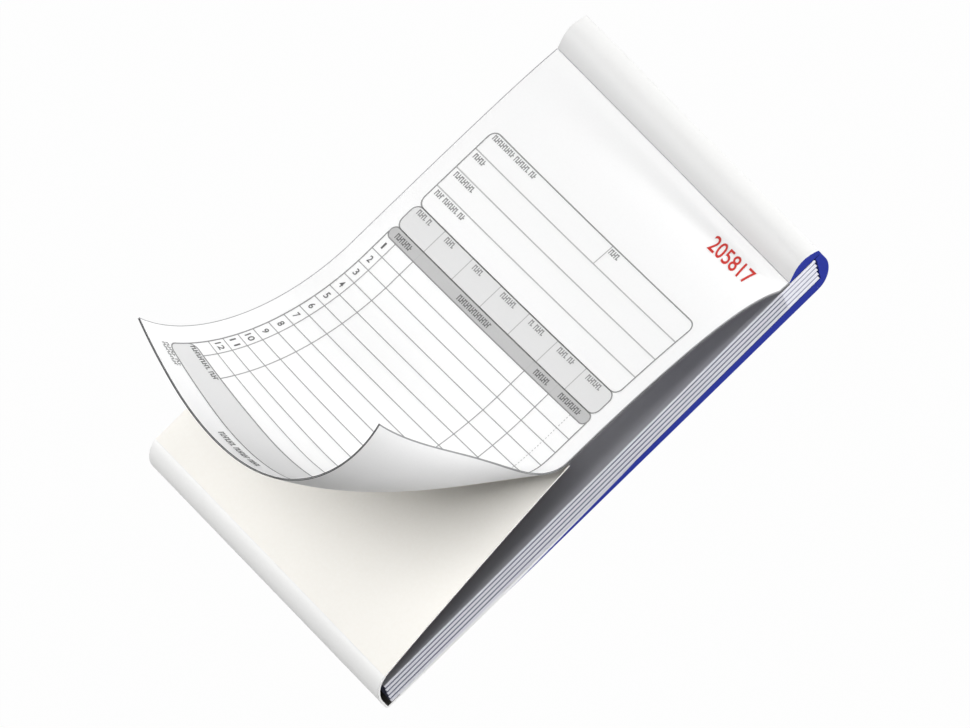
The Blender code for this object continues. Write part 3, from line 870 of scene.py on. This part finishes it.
labels = []
for row, runs in enumerate(ROW_RUNS):
    top = CUSTOMER_TOP + row * CUSTOMER_ROW + LABEL_DROP
    labels += dashes(FORM_LEFT + ROW_INDENT, top, runs, LABEL_HEIGHT)
labels += dashes(DATE_LINE + DATE_INDENT, CUSTOMER_TOP + LABEL_DROP, DATE_RUNS, LABEL_HEIGHT)
for cell, runs in enumerate(CELL_RUNS):
    left = FORM_LEFT + cell * cell_width + CELL_INDENT
    labels += dashes(left, CELLS_TOP + LABEL_DROP, runs, LABEL_HEIGHT)
note_top = table_foot + FOOT_BAND
for drop, runs in NOTE_RUNS.items():
    labels += dashes(FORM_LEFT + NOTE_INDENT, note_top + drop, runs, NOTE_HEIGHT)

heading_top = (HEADING_TOP + TABLE_TOP - HEADING_HEIGHT) / 2
headings = [(FORM_LEFT + start, length) for start, length in HEADING_FROM_LEFT.items()]
headings += [(FORM_RIGHT - start, length) for start, length in HEADING_FROM_RIGHT.items()]
darks = []
for left, length in headings:
    darks += dashes(left, heading_top, (length,), HEADING_HEIGHT)
darks += dashes(FORM_LEFT + TOTAL_INDENT, table_foot + LABEL_DROP, TOTAL_RUNS, TOTAL_HEIGHT)
foot_note_left = FORM_LEFT + FOOT_NOTE_START[0]
darks += dashes(foot_note_left, note_top + FOOT_NOTE_START[1], FOOT_NOTE_RUNS, FOOT_NOTE_HEIGHT)

# Figures: dark grey row numbers in the first column, and a red serial number that leans back. Set in a
# plain face and printed as films, cut finely enough to follow the paper.
FIGURE_STEP = 0.0008  # longest run of one stretch of a figure
ROW_FIGURE = 0.0027
ROW_WEIGHT = 0.010
FIGURE_WIDTH = 0.0018
NARROW_ONE = 0.5
SERIAL = "205817"
SERIAL_BOX = (0.0384, 0.0019, 0.0236, 0.0069)  # left, top, width, height
SERIAL_WEIGHT = 0.008
SERIAL_LEAN = 0.40


def figures(text, left, top, width, height, weight, lean=0.0):
    """Plain figures as films: a text's extruded outline, cut into short lengths so that it follows the
    curved paper, and fitted to a box on the page. The heads stand to the left of the feet by a share
    of the height."""
    curve = bpy.data.curves.new("figures", "FONT")
    curve.body = text
    curve.extrude = 0.5
    curve.offset = weight
    curve.resolution_u = 4
    setter = bpy.data.objects.new("figures", curve)
    bpy.context.scene.collection.objects.link(setter)
    graph = bpy.context.evaluated_depsgraph_get()
    mesh = bpy.data.meshes.new_from_object(setter.evaluated_get(graph))
    outline = bmesh.new()
    outline.from_mesh(mesh)
    corners = np.array([corner.co for corner in outline.verts])
    low, high = corners.min(axis=0), corners.max(axis=0)
    for size, side in ((width, (1, 0, 0)), (height, (0, 1, 0))):
        for share in np.linspace(0, 1, int(size / FIGURE_STEP) + 2)[1:-1]:
            bmesh.ops.bisect_plane(
                outline,
                geom=[*outline.verts, *outline.edges, *outline.faces],
                plane_co=low + share * (high - low),
                plane_no=side,
            )
    outline.to_mesh(mesh)
    outline.free()
    points = np.empty(len(mesh.vertices) * 3)
    mesh.vertices.foreach_get("co", points)
    points = (points.reshape(-1, 3) - low) / (high - low)
    points = points * (width, -height, 1) + (left, top + height, 0)
    points[:, 0] -= lean * (top + height - points[:, 1])
    faces = [list(face.vertices) for face in mesh.polygons]
    bpy.data.objects.remove(setter)
    bpy.data.curves.remove(curve)
    bpy.data.meshes.remove(mesh)
    return points, faces


row_figures = []
for row in range(TABLE_ROWS - 1):
    text = str(row + 1)
    width = FIGURE_WIDTH * (NARROW_ONE if text == "1" else len(text))
    left = (FORM_LEFT + column_lines[0] - width) / 2
    top = TABLE_TOP + (row + 0.5) * TABLE_ROW - ROW_FIGURE / 2
    row_figures.append(figures(text, left, top, width, ROW_FIGURE, ROW_WEIGHT))

printed("form_tints", tints, TINT_LIFT, tint_ink)
printed("form_heading", [film(rounded_area(*heading_box))], TINT_LIFT, heading_ink)
printed("form_rules", lights, RULE_LIFT, light_ink)
printed("form_table_rules", table_rules, RULE_LIFT, table_ink)
printed("form_outlines", outlines, RULE_LIFT + INK_FILM, outline_ink)
printed("form_labels", labels, LABEL_LIFT, label_ink)
printed("form_headings_and_notes", darks, LABEL_LIFT, dark_ink)
printed("row_numbers", row_figures, LABEL_LIFT, dark_ink)
serial = figures(SERIAL, *SERIAL_BOX, SERIAL_WEIGHT, SERIAL_LEAN)
printed("serial_number", [serial], LABEL_LIFT, number_ink)

# Floor, light and camera: a plain table that shows white, under four soft lamps, overhead, on the lip's
# side, at the front left and low at the fore edge. The camera looks down from the fore edge, rolled.
FLOOR = 3.0
FLOOR_DROP = 0.0002  # just clear of the book
FLOOR_GREY = "#787878"  # throws little light back up, so that undersides stay in shade
FLOOR_WHITE = 0.985  # share of plain white in what the camera sees of it
ROOM_LIGHT = 0.05
LAMP_DISTANCE = 1.6
LAMP_SIZE = 0.9
OVERHEAD_SIZE = 1.2
LOW_LAMP_HEIGHT = 0.08

corner_signs = np.array([(-1, -1), (1, -1), (1, 1), (-1, 1)])
floor_corners = np.column_stack([FLOOR * corner_signs, np.full(4, -FLOOR_DROP)])
floor_mesh = bpy.data.meshes.new("floor")
floor_mesh.from_pydata(floor_corners, [], [(0, 1, 2, 3)])
floor = bpy.data.objects.new("floor", floor_mesh)
bpy.context.scene.collection.objects.link(floor)


def seen(tree):
    """One for the rays that show the background: to the camera, or by a mirror or glass."""
    path = add(tree, "ShaderNodeLightPath").outputs
    either = add(
        tree,
        "ShaderNodeMath",
        {0: path["Is Camera Ray"], 1: path["Is Glossy Ray"]},
        operation="MAXIMUM",
    ).outputs[0]
    return add(
        tree, "ShaderNodeMath", {0: either, 1: path["Is Transmission Ray"]}, operation="MAXIMUM"
    ).outputs[0]


floor_finish, tree, shader = finish("white_table", roughness=0.9)
shader.inputs["Base Color"].default_value = linear(FLOOR_GREY)
white = add(tree, "ShaderNodeEmission", {"Color": (1, 1, 1, 1), "Strength": 1.0}).outputs[0]
share = add(tree, "ShaderNodeMath", {0: seen(tree), 1: FLOOR_WHITE}, operation="MULTIPLY").outputs[0]
mixed = add(tree, "ShaderNodeMixShader", {0: share, 1: shader.outputs[0], 2: white}).outputs[0]
tree.links.new(mixed, tree.nodes["Material Output"].inputs["Surface"])
dress(floor, floor_finish)

world = bpy.data.worlds.new("studio")
world.use_nodes = True
bpy.context.scene.world = world
tree = world.node_tree
strength = add(
    tree, "ShaderNodeMapRange", {"Value": seen(tree), "To Min": ROOM_LIGHT, "To Max": 1.0}
).outputs["Result"]
tree.links.new(strength, tree.nodes["Background"].inputs["Strength"])
tree.nodes["Background"].inputs["Color"].default_value = (1, 1, 1, 1)


def lamp(name, toward, power, width=LAMP_SIZE, height=LAMP_SIZE):
    """A soft light that stands off towards a direction and shines at the middle of the book."""
    data = bpy.data.lights.new(name, "AREA")
    data.shape = "RECTANGLE"
    data.size = width
    data.size_y = height
    data.energy = power
    made = bpy.data.objects.new(name, data)
    bpy.context.scene.collection.objects.link(made)
    made.visible_camera = False
    away = np.array(toward, float)
    made.location = away * LAMP_DISTANCE / np.linalg.norm(away)
    made.rotation_mode = "QUATERNION"
    made.rotation_quaternion = made.location.to_track_quat("Z", "Y")


lamp("overhead", (-0.12, -0.18, 0.97), 16.0, OVERHEAD_SIZE, OVERHEAD_SIZE)
lamp("lip_side", (0.00, 0.82, 0.57), 7.5)
lamp("front_left", (-0.45, -0.54, 0.71), 9.5)
lamp("low_right", (0.84, 0.54, 0.045), 22.0, height=LOW_LAMP_HEIGHT)

AZIMUTH = math.radians(89.82)
ELEVATION = math.radians(56.13)
ROLL = math.radians(-44.08)
ORIGIN_PX = (497.0, 371.1)  # where the middle of the book's underside lies in the picture
PX_PER_METRE = 2812.8
IMAGE = (970, 728)
DISTANCE = 12.0
SENSOR = 36.0

toward = np.array(
    [
        math.sin(AZIMUTH) * math.cos(ELEVATION),
        -math.cos(AZIMUTH) * math.cos(ELEVATION),
        math.sin(ELEVATION),
    ]
)
level = np.array([math.cos(AZIMUTH), math.sin(AZIMUTH), 0.0])
upright = np.cross(toward, level)
right = math.cos(ROLL) * level + math.sin(ROLL) * upright
up = -math.sin(ROLL) * level + math.cos(ROLL) * upright
aim = right * (IMAGE[0] / 2 - ORIGIN_PX[0]) / PX_PER_METRE
aim -= up * (IMAGE[1] / 2 - ORIGIN_PX[1]) / PX_PER_METRE
camera_data = bpy.data.cameras.new("camera")
camera_data.sensor_width = SENSOR
camera_data.lens = PX_PER_METRE * DISTANCE * SENSOR / IMAGE[0]
camera_data.clip_end = 4 * DISTANCE
camera = bpy.data.objects.new("camera", camera_data)
bpy.context.scene.collection.objects.link(camera)
stand = np.eye(4)
stand[:3, 0] = right
stand[:3, 1] = up
stand[:3, 2] = toward
stand[:3, 3] = aim + toward * DISTANCE
camera.matrix_world = Matrix(stand.tolist())
bpy.context.scene.camera = camera
bpy.context.scene.view_settings.view_transform = "Standard"
